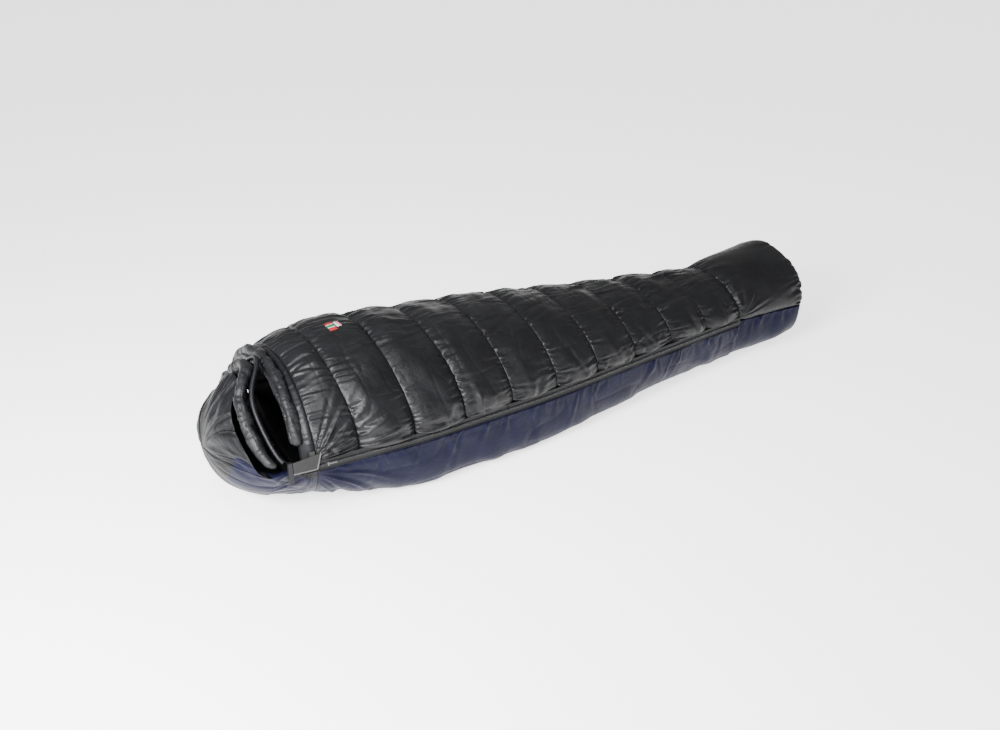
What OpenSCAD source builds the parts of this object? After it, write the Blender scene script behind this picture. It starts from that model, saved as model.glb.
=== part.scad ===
// Mummy sleeping bag filled with down, zipped up and lying on its back.
// The head end is towards -X, the foot towards +X, and the side zip runs along -Y.
// The origin lies on the ground under the middle of the bag.

/* [Widths] */
// Full width at the head end of the zip
neck_w = 520; // [500:5:540]
// Full width at the chest, where the bag is widest
chest_w = 552; // [540:2:570]
// Full width at the hips
hip_w = 508; // [490:2:530]
// Full width at the knees
knee_w = 400; // [385:5:415]
// Full width at the ankles
ankle_w = 308; // [296:2:320]
// Full width at the toes
toe_w = 328; // [310:2:340]

/* [Heights] */
// Height of the quilt's edge at the neck
neck_h = 352; // [340:2:365]
// Height over the shoulders
shoulder_h = 388; // [375:1:400]
// Height over the chest
chest_h = 378; // [365:1:390]
// Height over the hips
hip_h = 345; // [335:1:355]
// Height over the knees
knee_h = 294; // [285:1:305]
// Height over the ankles
ankle_h = 270; // [260:1:280]
// Height over the toes
toe_h = 304; // [290:1:315]
// Height of the zip at its head end
zip_h_head = 168; // [160:1:175]
// Height of the zip at its foot end
zip_h_foot = 151; // [145:1:160]

/* [Lengths] */
// Place of the quilt's edge at the neck
neck_x = -720; // [-724:1:-716]
// Place of the first quilting seam
first_seam_x = -640; // [-645:1:-635]
// Distance between quilting seams
seam_pitch = 150; // [148:1:152]
// Place where the foot's end cushion starts
toe_x = 950; // [940:1:960]
// Length of the foot's end cushion
toe_cushion_l = 46; // [40:1:52]
// How far a seam runs towards the foot at its two ends
seam_sweep = 20; // [0:1:24]

/* [Filling] */
// Thickness of the filled quilt
loft = 44; // [38:1:48]
// Thickness of the filled floor and side panels
floor_loft = 34; // [28:1:38]
// How far a chamber swells between its seams
puff = 13; // [6:1:16]
// Squareness of the underside at its flattest, under the hips, where 2 is an ellipse
base_square = 7; // [5:0.5:8]

/* [Hood] */
// Place of the hood's front edge
hood_front_x = -834; // [-836:1:-832]
// Length of the hood from its front edge to the crown
hood_l = 108; // [104:1:112]
// Full width of the hood at its front edge
hood_w = 462; // [456:1:466]
// Height of the hood at its front edge
hood_h = 334; // [320:1:345]
// Height of the joint between the hood and its base
hood_split_h = 160; // [150:1:165]
// Thickness of the filled hood
hood_loft = 28; // [22:1:32]
// How far the rim's near side lies behind its peak
rim_sweep = 58; // [40:1:60]
// How far the rim's far side lies behind its peak
rim_sweep_far = 14; // [8:1:20]
// Radius of the padded roll beside the hood's rim
rim_r = 16; // [14:1:17]

/* [Openings and closures] */
// Angle that each section of the open quilt adds
open_step = 45; // [10:5:50]
// Radius of a zip coil
coil_r = 1.7; // [1.2:0.1:2]
// Height of one zip tape
tape_h = 12; // [10:1:13]
// Gap between two sections of the quilt that turn against each other
section_gap = 16; // [15:1:18]

/* [Hidden] */
chambers = 10;
// Last chamber of the torso, the thigh and the shin section
torso_last = 4;
thigh_last = 7;
// Seams by number: 0 is the neck edge
function seam_x(i) = i == 0 ? neck_x : first_seam_x + seam_pitch * (i - 1);
ankle_x = seam_x(chambers);

wall_t = 0.8;
wall_gap = 1.4;
skin_t = 1.2;
fit_gap = 0.4;
edge_gap = 3;
zip_band = 15;
neck_sweep = -14;
flat_sag = 3;
toe_lift = 26;
rows = 4;
arch_cols = 14;

head_x = -800;
widths = [
    [head_x, neck_w / 2], [-470, chest_w / 2], [-60, hip_w / 2],
    [350, knee_w / 2], [ankle_x, ankle_w / 2], [toe_x, toe_w / 2]
];
heights = [
    [neck_x, neck_h], [-685, shoulder_h - 6], [first_seam_x, shoulder_h], [-470, chest_h],
    [-60, hip_h], [350, knee_h], [ankle_x, ankle_h], [870, toe_h - 4], [toe_x, toe_h]
];
zip_heights = [[first_seam_x, zip_h_head], [ankle_x, zip_h_foot]];
sweeps = [[neck_x, neck_sweep], [first_seam_x, seam_sweep], [ankle_x, seam_sweep], [toe_x, 0]];
lifts = [[800, 0], [toe_x, toe_lift]];
squares = [
    [neck_x, 2], [-660, 2.4], [-600, 3.4], [-520, 5], [-400, base_square],
    [-100, base_square], [300, 4], [500, 3.2], [toe_x, 3.4]
];

function half_w(x) = lookup(x, widths);
function top_z(x) = lookup(x, heights);
function zip_z(x) = lookup(x, zip_heights);
function unit(v) = v / norm(v);

// A point of the upper arch; a runs from 0 at the zip over the top to 180 at the far seam
function upper(x, a, inset = 0, swell = 0) =
    let (out = swell * sin(a) - inset)
    [
        x + lookup(x, sweeps) * pow(cos(a), 2),
        -(half_w(x) + out) * cos(a),
        zip_z(x) + (top_z(x) - zip_z(x) + out) * sin(a)
    ];

// How far out a corner rounded to a squareness reaches in the direction b
function reach(b, square) = pow(pow(abs(cos(b)), square) + pow(abs(sin(b)), square), -1 / square);

// A point of the underside; b runs from 0 at the zip under the floor to 180 at the far seam
function lower(x, b, inset = 0) =
    let (
        r = reach(b, lookup(x, squares)),
        lift = lookup(x, lifts),
        drop = zip_z(x) - lift - inset + flat_sag
    )
    [x, -(half_w(x) - inset) * r * cos(b), max(inset + lift, zip_z(x) - drop * r * sin(b))];

// How far along the hood a row lies, from 0 at the front edge to 1 at the crown
function hood_s(u) = sin(90 * u);

hood_gap = 1.5;
hood_square = 1.8;
hood_drop = 138;
// How far the hood lies off the bag's middle, towards the zip
hood_shift = -16;
peak_angle = 16;
peak_round = 0.12;

// How far the rim runs back from its peak, which stands over the middle of the face opening
function rim_back(a) =
    (a < 90 ? rim_sweep : rim_sweep_far) * sqrt(max(0, sin(a))) * (1 - exp(-pow((a - 90) / peak_angle, 2)));

// Height of the pointed arch of the rim, from 0 at its feet to 1 at its rounded peak
function peak(a) =
    1 - (norm([cos(a), peak_round]) - peak_round) / (norm([1, peak_round]) - peak_round);

// A point of the hood's upper shell, pointed at the rim and round behind it; a runs as in upper()
function hood_upper(u, a, inset = 0) =
    let (
        s = hood_s(u),
        round = 0.8 * s,
        arch = (1 - round) * peak(a) + round * sin(a)
    )
    [
        hood_front_x - rim_back(a) * (1 - s) - (hood_l - inset) * s,
        hood_shift - (hood_w / 2 - inset) * sqrt(1 - s) * cos(a),
        hood_split_h + hood_gap + (hood_h - hood_split_h - inset) * pow(1 - pow(s, 1.2), 0.6) * arch
    ];

// A point of the hood's base; b runs as in lower()
function hood_lower(u, b, inset = 0) =
    let (
        s = hood_s(u),
        r = reach(b, hood_square),
        drop = (hood_drop - inset) * sqrt(1 - pow(s, 2))
    )
    [
        hood_front_x - (hood_l - inset) * s,
        hood_shift - (hood_w / 2 - inset) * sqrt(1 - s) * r * cos(b),
        hood_split_h - drop * r * sin(b)
    ];

// A grid of points: one row for each x, one column for each angle
function steps(from, to, count) = [for (i = [0 : count]) from + (to - from) * i / count];

// Closed block between an outer grid of points and an inner grid of the same size
module block(outer, inner) {
    rs = len(outer);
    cs = len(outer[0]);
    n = rs * cs;
    ring = concat(
        [for (c = [0 : cs - 2]) c],
        [for (r = [0 : rs - 2]) r * cs + cs - 1],
        [for (c = [cs - 1 : -1 : 1]) (rs - 1) * cs + c],
        [for (r = [rs - 1 : -1 : 1]) r * cs]
    );
    cells = [for (r = [0 : rs - 2], c = [0 : cs - 2]) r * cs + c];
    polyhedron(
        points = concat([for (row = outer) each row], [for (row = inner) each row]),
        faces = concat(
            [for (k = cells) each [[k, k + 1, k + cs + 1], [k, k + cs + 1, k + cs]]],
            [for (k = cells) each [
                [n + k, n + k + cs + 1, n + k + 1],
                [n + k, n + k + cs, n + k + cs + 1]
            ]],
            [for (i = [0 : len(ring) - 1])
                let (p = ring[i], q = ring[(i + 1) % len(ring)])
                each [[q, p, p + n], [q, p + n, q + n]]
            ]
        ),
        convexity = 10
    );
}

// Round tube along a path; side is any direction that the path never takes
module tube(path, r, side, sides = 8) {
    last = len(path) - 1;
    points = [
        for (i = [0 : last])
            let (
                t = unit(path[min(i + 1, last)] - path[max(i - 1, 0)]),
                n1 = unit(cross(side, t)),
                n2 = cross(t, n1)
            )
            for (j = [0 : sides - 1])
                path[i] + r * (cos(360 * j / sides) * n1 + sin(360 * j / sides) * n2)
    ];
    polyhedron(
        points = points,
        faces = concat(
            [[for (j = [0 : sides - 1]) j]],
            [for (i = [0 : last - 1], j = [0 : sides - 1])
                let (k = (j + 1) % sides, a = i * sides)
                each [[a + j, a + sides + j, a + sides + k], [a + j, a + sides + k, a + k]]
            ],
            [[for (j = [sides - 1 : -1 : 0]) last * sides + j]]
        ),
        convexity = 10
    );
}

far_a = 179.4;
near_b = 5.5;
far_b = 179;
panel_b = 62;

// Angle at which the quilt's edge starts, so that it ends one zip band above the zip
function near_a(x) = asin(zip_band / (top_z(x) - zip_z(x)));
hood_near_a = 1.2;

// Ends of each chamber, with room for a baffle wall or for a turning section
function is_border(i) = i == torso_last || i == thigh_last || i == chambers;
function half_gap(i) = i == 0 ? 0 : is_border(i) ? section_gap / 2 : wall_t / 2 + wall_gap;
function chamber_from(i) = seam_x(i - 1) + half_gap(i - 1);
function chamber_to(i) = seam_x(i) - half_gap(i);

// Block of the arch between two places along the bag; its near edge follows the zip unless a0 is given
module arch_block(x0, x1, inset, thick, swell = 0, a0 = undef, a1 = far_a, rows = rows, cols = arch_cols) {
    xs = steps(x0, x1, rows);
    as = [for (x = xs) steps(is_undef(a0) ? near_a(x) : a0, a1, cols)];
    block(
        [for (i = [0 : rows]) [for (a = as[i]) upper(xs[i], a, inset, swell * sin(180 * i / rows))]],
        [for (i = [0 : rows]) [for (a = as[i]) upper(xs[i], a, inset + thick)]]
    );
}

module floor_block(x0, x1, bs, inset, thick, rows = rows) {
    xs = steps(x0, x1, rows);
    block(
        [for (x = xs) [for (b = bs) lower(x, b, inset)]],
        [for (x = xs) [for (b = bs) lower(x, b, inset + thick)]]
    );
}

// Quilt
function chamber_name(i) = str("top_chamber_", i < 10 ? "0" : "", i);

module top_chamber(i) {
    color([0.07, 0.07, 0.08])
        arch_block(chamber_from(i), chamber_to(i), 0, loft, puff);
}

module baffle_walls(from, to) {
    color([0.2, 0.2, 0.22])
        for (i = [from : to])
            arch_block(seam_x(i) - wall_t / 2, seam_x(i) + wall_t / 2, 0, loft, rows = 1);
}

module quilt_liner(first, last) {
    color([0.1, 0.1, 0.11])
        arch_block(chamber_from(first), chamber_to(last), loft + wall_gap, skin_t, rows = 6);
}

foot_a = 1;

module foot_box_top() {
    color([0.07, 0.07, 0.08])
        arch_block(ankle_x + section_gap / 2, toe_x - fit_gap, 0, loft, puff / 2, a0 = foot_a, rows = 6);
}

module foot_liner() {
    color([0.1, 0.1, 0.11])
        arch_block(ankle_x + section_gap / 2, toe_x - fit_gap, loft + wall_gap, skin_t, a0 = foot_a, rows = 6);
}

// Outline of the bag across its length at x, as [y, z] points
function outline(x, grow = 0) = concat(
    [for (a = steps(2, 178, arch_cols)) let (p = upper(x, a, -grow)) [p[1], p[2]]],
    [for (b = steps(178, 2, arch_cols)) let (p = lower(x, b, -grow)) [p[1], max(0, p[2])]]
);

// Thin slice of the foot's end cushion
module toe_slice(along, grow) {
    translate([toe_x + along, 0, 0])
        rotate([90, 0, 90])
            linear_extrude(1)
                polygon(outline(toe_x, grow));
}

module foot_box_end() {
    color([0.06, 0.06, 0.07])
        hull() {
            toe_slice(0, 0);
            toe_slice(toe_cushion_l * 0.55, -9);
            toe_slice(toe_cushion_l - 1, -30);
        }
}

module foot_box_base() {
    color([0.12, 0.13, 0.3])
        floor_block(ankle_x + fit_gap, toe_x - fit_gap, steps(far_b, near_b, 20), 0, floor_loft, rows = 6);
}

// Floor and side panels
floor_chambers = 5;
floor_l = (ankle_x - neck_x) / floor_chambers;
floor_rows = 5;
// Angles of the columns of the far panel, the floor and the near panel
far_bs = steps(far_b, 180 - panel_b + 0.5, 5);
floor_bs = steps(180 - panel_b, panel_b, 8);
near_bs = steps(panel_b - 0.5, near_b, 5);
function floor_name(i) = str("floor_chamber_", i);

module floor_chamber(i) {
    x0 = neck_x + floor_l * (i - 1);
    color([0.12, 0.13, 0.3])
        floor_block(x0 + fit_gap, x0 + floor_l - fit_gap, floor_bs, 0, floor_loft, rows = floor_rows);
}

module side_panel(bs) {
    color([0.13, 0.14, 0.34])
        floor_block(
            neck_x + fit_gap, ankle_x - fit_gap, bs, 0, floor_loft,
            rows = floor_chambers * floor_rows
        );
}

module side_panel_near() side_panel(near_bs);

module side_panel_far() side_panel(far_bs);

module floor_liner() {
    color([0.1, 0.1, 0.11])
        floor_block(
            neck_x + fit_gap, ankle_x - fit_gap, concat(far_bs, floor_bs, near_bs),
            floor_loft + wall_gap, skin_t, rows = floor_chambers * floor_rows
        );
}

// Neck band and draft collar
band_l = 16;
collar_x = neck_x - 32;
collar_r = 13;
collar_top_h = 350;
collar_inset = 26;

module neck_band() {
    color([0.05, 0.05, 0.06])
        arch_block(neck_x - band_l, neck_x - fit_gap, 0, loft / 2, rows = 2);
}

function collar_arch(a) = [
    collar_x + neck_sweep * pow(cos(a), 2),
    -(half_w(collar_x) - collar_inset) * cos(a),
    zip_z(collar_x) + (collar_top_h - zip_z(collar_x)) * sin(a)
];

module collar_top() {
    color([0.25, 0.25, 0.27])
        tube([for (a = steps(6, 176, 20)) collar_arch(a)], collar_r, [1, 0, 0], 10);
}

module collar_base() {
    inset = floor_loft + collar_r + 3 * edge_gap;
    color([0.2, 0.2, 0.22])
        tube([for (b = steps(8, 172, 24)) lower(collar_x, b, inset)], collar_r, [1, 0, 0], 10);
}

// Zip
zip_inset = 7;
tape_t = 1;
tape_gap = 0.2;
coil_gap = 1.6;
chain_from = neck_x - 14;
bottom_stop_x = ankle_x - 10;

// A point on the zip, up the tape by h and out of the bag by out
function zip_point(x, h = 0, out = 0) = [x, -(half_w(x) - zip_inset + out), zip_z(x) + h];

// Places along the zip between two ends, with every bend of the side in between
function zip_places(x0, x1) = concat(
    [x0],
    [for (w = widths) if (w[0] > x0 + 1 && w[0] < x1 - 1) w[0]],
    [x1]
);

// One tape with its coil; up is 1 for the quilt's half and -1 for the floor's half
module zip_half(x0, x1, up) {
    xs = zip_places(x0, x1);
    coil_h = coil_r + coil_gap / 2;
    low = up > 0 ? coil_h : -tape_h;
    high = up > 0 ? tape_h : -coil_h;
    behind = coil_r + tape_gap;
    block(
        [for (x = xs) [for (h = [low, high]) zip_point(x, h, -behind)]],
        [for (x = xs) [for (h = [low, high]) zip_point(x, h, -behind - tape_t)]]
    );
    tube([for (x = xs) zip_point(x, up * coil_h)], coil_r, [0, 0, 1]);
}

module zip_upper(x0, x1) {
    color([0.09, 0.09, 0.1]) zip_half(x0, x1, 1);
}

module zip_lower() {
    color([0.09, 0.09, 0.1]) zip_half(chain_from, bottom_stop_x, -1);
}

module zip_bottom_stop() {
    color([0.3, 0.3, 0.32])
        translate(zip_point(bottom_stop_x + 3))
            cube([5, 5, 8], center = true);
}

// How much shorter than the chambers a draft tube is at each end
draft_short = 8;

module draft_tube(x0, x1) {
    xs = zip_places(x0, x1);
    r = 13;
    color([0.1, 0.1, 0.11])
        tube(
            [for (x = xs) zip_point(x, r * 0.6, zip_inset - loft - skin_t - r - edge_gap)],
            r, [0, 0, 1]
        );
}

// Slider, which runs along the straight stretch of the zip at the head end
slider_along = 31;
slider_l = 13;
slider_h = 11;
plate_t = 1.4;
plate_front = coil_r + 0.6;
plate_back = coil_r + tape_gap + tape_t + 0.4;
post_t = 1;
pin_back = 2;
pin_r = 1.1;
pin_clearance = 0.06;
pin_out = plate_front + plate_t + 2.6;
ear_place = 3.6;
zip_run = [chain_from, widths[1][0]];
zip_dir = unit(zip_point(zip_run[1]) - zip_point(zip_run[0]));
zip_turn = atan2(zip_dir[1], zip_dir[0]);
zip_dip = -atan2(zip_dir[2], zip_dir[0]);

// Puts children on the zip at the slider, with X along the zip and -Y out of the bag
module at_slider() {
    translate(zip_point(zip_run[0]) + slider_along * zip_dir)
        rotate([0, zip_dip, zip_turn])
            children();
}

module slider_body() {
    color([0.25, 0.25, 0.27])
        at_slider() {
            translate([-slider_l / 2, -plate_front - plate_t, -slider_h / 2])
                cube([slider_l, plate_t, slider_h]);
            translate([-slider_l / 2, plate_back, -slider_h / 2])
                cube([slider_l, plate_t, slider_h]);
            translate([-slider_l / 2, -plate_front - plate_t / 2, -post_t / 2])
                cube([slider_l / 2, plate_front + plate_back + plate_t, post_t]);
            for (end = [-1, 1])
                translate([-pin_back, -pin_out + 0.2, end * ear_place])
                    cube([3.4, 5.2, 1.4], center = true);
            translate([-pin_back, -pin_out, 0])
                cylinder(h = 2 * ear_place + 1.2, r = pin_r, center = true, $fn = 32);
        }
}

puller_l = 22;
puller_h = 5;

module zip_puller() {
    color([0.3, 0.3, 0.32])
        at_slider()
            translate([-pin_back, -pin_out, 0])
                difference() {
                    union() {
                        cylinder(h = puller_h, r = 2, center = true, $fn = 32);
                        translate([puller_l / 2, -0.6, 0])
                            cube([puller_l, 1.6, puller_h], center = true);
                    }
                    cylinder(h = puller_h + 2, r = pin_r + pin_clearance, center = true, $fn = 32);
                }
}

// Guard tab over the head end of the zip
tab_x = neck_x - 75;
tab_y = -neck_w / 2 - 6.5;
tab_z = 164;
tab_l = 72;
tab_h = 42;
tab_t = 1.6;
pad_t = 1.2;

// Side view of the tab, with its free end on the right
module tab_outline(inset = 0) {
    offset(delta = -inset)
        polygon([[0, 4], [tab_l - 12, 0], [tab_l, tab_h], [0, tab_h - 6]]);
}

// Stands a side view up in the plane of the zip
module upright(y, thick) {
    translate([tab_x, y, tab_z]) rotate([90, 0, 0]) linear_extrude(thick) children();
}

module guard_tab() {
    color([0.16, 0.16, 0.17]) upright(tab_y, tab_t) tab_outline();
}

module hook_pad() {
    color([0.05, 0.05, 0.05])
        upright(tab_y + pad_t + 0.1, pad_t)
            intersection() {
                tab_outline(4);
                translate([tab_l - 34, 0]) square([40, tab_h]);
            }
}

loop_a = 6;

module loop_pad() {
    color([0.05, 0.05, 0.05])
        arch_block(
            neck_x - band_l + 1, neck_x - 2, -pad_t - fit_gap, pad_t,
            a0 = loop_a, a1 = loop_a + 7, rows = 1, cols = 2
        );
}

anchor_gap = 10.5;

module tab_anchor() {
    color([0.09, 0.09, 0.1])
        translate([tab_x - 12.4, tab_y, tab_z - 24])
            cube([11, -tab_y - hood_w / 2 + hood_shift - anchor_gap, tab_h + 18]);
}

// Hood
hood_rows = 7;
hood_end_u = 0.97;
hood_seam_near = 58;
hood_seam_far = 122;

module hood_block(a0, a1, inset, thick, cols) {
    us = steps(0, hood_end_u, hood_rows);
    as = steps(a1, a0, cols);
    block(
        [for (u = us) [for (a = as) hood_upper(u, a, inset)]],
        [for (u = us) [for (a = as) hood_upper(u, a, inset + thick)]]
    );
}

module hood_crown() {
    color([0.07, 0.07, 0.08]) hood_block(hood_seam_near + 1, hood_seam_far - 1, 0, hood_loft, 6);
}

module hood_side_near() {
    color([0.06, 0.06, 0.07]) hood_block(hood_near_a, hood_seam_near, 0, hood_loft, 6);
}

module hood_side_far() {
    color([0.06, 0.06, 0.07]) hood_block(hood_seam_far, 180 - hood_near_a, 0, hood_loft, 6);
}

module hood_liner() {
    color([0.04, 0.04, 0.04])
        hood_block(hood_near_a, 180 - hood_near_a, hood_loft + 3 * wall_gap, skin_t, 14);
}

module hood_base() {
    us = steps(0, hood_end_u, hood_rows);
    bs = steps(0.8, 179.2, 20);
    // The row that meets the floor ends lower, so that it stays under the zip tape
    neck_bs = steps(8, 172, 20);
    color([0.12, 0.13, 0.3])
        block(
            concat(
                [[for (b = neck_bs) lower(neck_x - fit_gap, b, 0)]],
                [for (u = us) [for (b = bs) hood_lower(u, b, 0)]]
            ),
            concat(
                [[for (b = neck_bs) lower(neck_x - fit_gap, b, hood_loft)]],
                [for (u = us) [for (b = bs) hood_lower(u, b, hood_loft)]]
            )
        );
}

channel_r = 4.6;
rim_x = hood_front_x + rim_r + 11;
rim_top_h = 353;
// Height of the rim's feet over the joint between the hood and its base
rim_foot = 22;
channel_x = rim_x + rim_r + channel_r + 3.6;
channel_wall = 1.4;
cord_r = 1.6;
channel_top_h = 368;

// Arch of the hood's rim at x, with its own top height and inset from the hood's side
function rim_arch(x, top, inset, a) = [
    x - rim_back(a),
    hood_shift - (hood_w / 2 - inset) * cos(a),
    hood_split_h + rim_foot + (top - hood_split_h - rim_foot) * peak(a)
];

module rim_baffle() {
    color([0.22, 0.22, 0.24])
        tube(
            [for (a = steps(8, 172, 30)) rim_arch(rim_x, rim_top_h, rim_r, a)],
            rim_r, [1, 0, 0], 10
        );
}

// A point of the drawcord's line inside the rim
function rim_cord(a) = rim_arch(channel_x, channel_top_h, channel_r, a);

function channel_path(a0, a1, count) = [for (a = steps(a0, a1, count)) rim_cord(a)];

module rim_channel() {
    color([0.3, 0.3, 0.32])
        difference() {
            tube(channel_path(26, lock_a - 5, 26), channel_r, [1, 0, 0]);
            tube(channel_path(24, lock_a - 3, 28), channel_r - channel_wall, [1, 0, 0]);
        }
}

module hood_drawcord() {
    color([0.1, 0.1, 0.1]) tube(channel_path(20, lock_a + 12, 30), cord_r, [1, 0, 0]);
}

// Cord lock on the far side of the rim, with Z along the cord and +Y as the way its button comes out
lock_a = 150;
lock_r = 5;
lock_bore_r = 3.6;
plunger_r = 3.5;
press_travel = 3;
lock_up = unit(rim_cord(lock_a - 2) - rim_cord(lock_a + 2));
lock_tilt = atan2(-lock_up[1], lock_up[2]);
lock_lean = asin(lock_up[0]);

module at_lock() {
    translate(rim_cord(lock_a)) rotate([lock_tilt, 0, 0]) rotate([0, lock_lean, 0]) children();
}

// Round bar along Y from one place to another
module bar_y(r, from, to) {
    translate([0, to, 0]) rotate([90, 0, 0]) cylinder(h = to - from, r = r, $fn = 48);
}

module cord_lock_body() {
    color([0.05, 0.05, 0.05])
        at_lock()
            difference() {
                bar_y(lock_r, -12, 5);
                bar_y(lock_bore_r, -10.8, 6);
                cylinder(h = 20, r = 2.4, center = true, $fn = 32);
            }
}

module cord_lock_button() {
    color([0.35, 0.05, 0.05])
        at_lock()
            difference() {
                bar_y(plunger_r, -4, 9.5);
                translate([0, press_travel / 2, 0])
                    cube([2 * cord_r + 0.6, 2 * cord_r + 0.6 + press_travel, 20], center = true);
            }
}

module cord_lock_spring() {
    turns = 4;
    count = turns * 10;
    color([0.6, 0.6, 0.62])
        at_lock()
            tube(
                [for (i = [0 : count])
                    [2.6 * cos(360 * i / 10), -10.2 + 5.6 * i / count, 2.6 * sin(360 * i / 10)]],
                0.35, [0, 1, 0], 6
            );
}

// Labels on the second chamber
module label_patch(x, a, size_x, size_a) {
    arch_block(x, x + size_x, -puff - 1.4, 1, a0 = a, a1 = a + size_a, rows = 1, cols = 2);
}

label_x = seam_x(1) + 62;

module woven_label() {
    color([0.6, 0.1, 0.1]) label_patch(label_x, 86, 20, 9);
}

module side_tag() {
    color([0.85, 0.8, 0.8]) label_patch(label_x + 24, 88, 12, 6);
}

section_starts = [1, torso_last + 1, thigh_last + 1];
section_ends = [torso_last, thigh_last, chambers];
sections = ["torso", "thigh", "shin"];

NODES = concat(
    [for (i = [1 : chambers]) chamber_name(i)],
    [for (i = [1 : floor_chambers]) floor_name(i)],
    [for (s = sections) each [
        str("baffle_walls_", s), str("liner_", s), str("zip_upper_", s), str("draft_tube_", s)
    ]],
    [
        "foot_box_top", "foot_box_end", "foot_box_base", "foot_liner",
        "side_panel_near", "side_panel_far", "floor_liner",
        "neck_band", "collar_top", "collar_base",
        "zip_lower", "zip_bottom_stop", "zip_slider", "zip_puller",
        "guard_tab", "hook_pad", "loop_pad", "tab_anchor",
        "hood_crown", "hood_side_near", "hood_side_far", "hood_base", "hood_liner",
        "rim_baffle", "rim_channel", "hood_drawcord",
        "cord_lock_body", "cord_lock_button", "cord_lock_spring",
        "woven_label", "side_tag"
    ]
);
node = "all";

function drawn(name) = node == "all" || node == name;

for (i = [1 : chambers]) if (drawn(chamber_name(i))) top_chamber(i);
for (i = [1 : floor_chambers]) if (drawn(floor_name(i))) floor_chamber(i);
for (k = [0 : 2]) {
    first = section_starts[k];
    last = section_ends[k];
    x0 = k == 0 ? chain_from : chamber_from(first) + seam_sweep;
    x1 = k == 2 ? bottom_stop_x : chamber_to(last) + seam_sweep;
    if (drawn(str("baffle_walls_", sections[k]))) baffle_walls(first, last - 1);
    if (drawn(str("liner_", sections[k]))) quilt_liner(first, last);
    if (drawn(str("zip_upper_", sections[k]))) zip_upper(x0, x1);
    if (drawn(str("draft_tube_", sections[k]))) draft_tube(max(x0, neck_x + edge_gap) + draft_short, x1 - draft_short);
}
if (drawn("foot_box_top")) foot_box_top();
if (drawn("foot_box_end")) foot_box_end();
if (drawn("foot_box_base")) foot_box_base();
if (drawn("foot_liner")) foot_liner();
if (drawn("side_panel_near")) side_panel_near();
if (drawn("side_panel_far")) side_panel_far();
if (drawn("floor_liner")) floor_liner();
if (drawn("neck_band")) neck_band();
if (drawn("collar_top")) collar_top();
if (drawn("collar_base")) collar_base();
if (drawn("zip_lower")) zip_lower();
if (drawn("zip_bottom_stop")) zip_bottom_stop();
if (drawn("zip_slider")) slider_body();
if (drawn("zip_puller")) zip_puller();
if (drawn("guard_tab")) guard_tab();
if (drawn("hook_pad")) hook_pad();
if (drawn("loop_pad")) loop_pad();
if (drawn("tab_anchor")) tab_anchor();
if (drawn("hood_crown")) hood_crown();
if (drawn("hood_side_near")) hood_side_near();
if (drawn("hood_side_far")) hood_side_far();
if (drawn("hood_base")) hood_base();
if (drawn("hood_liner")) hood_liner();
if (drawn("rim_baffle")) rim_baffle();
if (drawn("rim_channel")) rim_channel();
if (drawn("hood_drawcord")) hood_drawcord();
if (drawn("cord_lock_body")) cord_lock_body();
if (drawn("cord_lock_button")) cord_lock_button();
if (drawn("cord_lock_spring")) cord_lock_spring();
if (drawn("woven_label")) woven_label();
if (drawn("side_tag")) side_tag();
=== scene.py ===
import math

import bpy
import numpy as np
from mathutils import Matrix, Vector


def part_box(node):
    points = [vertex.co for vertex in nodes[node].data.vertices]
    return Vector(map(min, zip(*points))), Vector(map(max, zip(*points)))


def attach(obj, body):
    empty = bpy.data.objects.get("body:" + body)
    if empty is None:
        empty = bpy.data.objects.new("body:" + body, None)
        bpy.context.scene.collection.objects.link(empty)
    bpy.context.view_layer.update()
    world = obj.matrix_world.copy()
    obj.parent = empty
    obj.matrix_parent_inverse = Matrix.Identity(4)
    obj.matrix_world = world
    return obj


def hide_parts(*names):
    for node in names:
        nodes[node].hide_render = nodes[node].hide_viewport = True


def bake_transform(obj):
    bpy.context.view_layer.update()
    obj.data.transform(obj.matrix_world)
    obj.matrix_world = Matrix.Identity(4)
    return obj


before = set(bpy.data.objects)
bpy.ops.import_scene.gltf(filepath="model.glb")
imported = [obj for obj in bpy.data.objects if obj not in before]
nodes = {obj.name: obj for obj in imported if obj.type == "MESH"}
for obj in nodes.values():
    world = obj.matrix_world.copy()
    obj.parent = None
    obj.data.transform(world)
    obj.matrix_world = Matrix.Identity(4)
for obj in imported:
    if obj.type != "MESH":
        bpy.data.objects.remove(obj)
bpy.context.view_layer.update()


# ---------- reading the bag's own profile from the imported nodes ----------

def cadPoints(name):
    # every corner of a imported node, as one array
    mesh = nodes[name].data
    flat = np.empty(len(mesh.vertices) * 3, np.float32)
    mesh.vertices.foreach_get("co", flat)
    return flat.reshape(-1, 3).astype(float)


def rowsOf(points, column, pick):
    # groups points by their x, to the millimetre, and keeps one extreme of a column in each group
    keys = np.round(points[:, 0], 3)
    xs = np.unique(keys)
    return xs, np.array([pick(points[keys == x, column]) for x in xs])


def ridgeOf(name):
    # the two ends of a top piece's ridge line: places and heights, without the swell between
    points = cadPoints(name)
    points = points[np.abs(points[:, 1]) < 0.03]
    x, z = points[:, 0], points[:, 2]
    return [(x.min(), z[x < x.min() + 0.009].max()), (x.max(), z[x > x.max() - 0.009].max())]


def smoothed(xs, values, reach):
    # a dense profile whose corners are rounded by a gaussian of the given reach
    dense = np.interp(profile["grid"], xs, values)
    step = profile["grid"][1] - profile["grid"][0]
    offsets = np.arange(-60, 61) * step
    weights = np.exp(-(offsets / reach) ** 2)
    padded = np.pad(dense, 60, mode="edge")
    return np.convolve(padded, weights / weights.sum(), mode="valid")


chamberNames = ["top_chamber_%02d" % i for i in range(1, 11)]
profile = {"grid": np.arange(-1.0, 1.06, 0.005), "sideReach": 0.045, "topReach": 0.03, "zipReach": 0.05}

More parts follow.
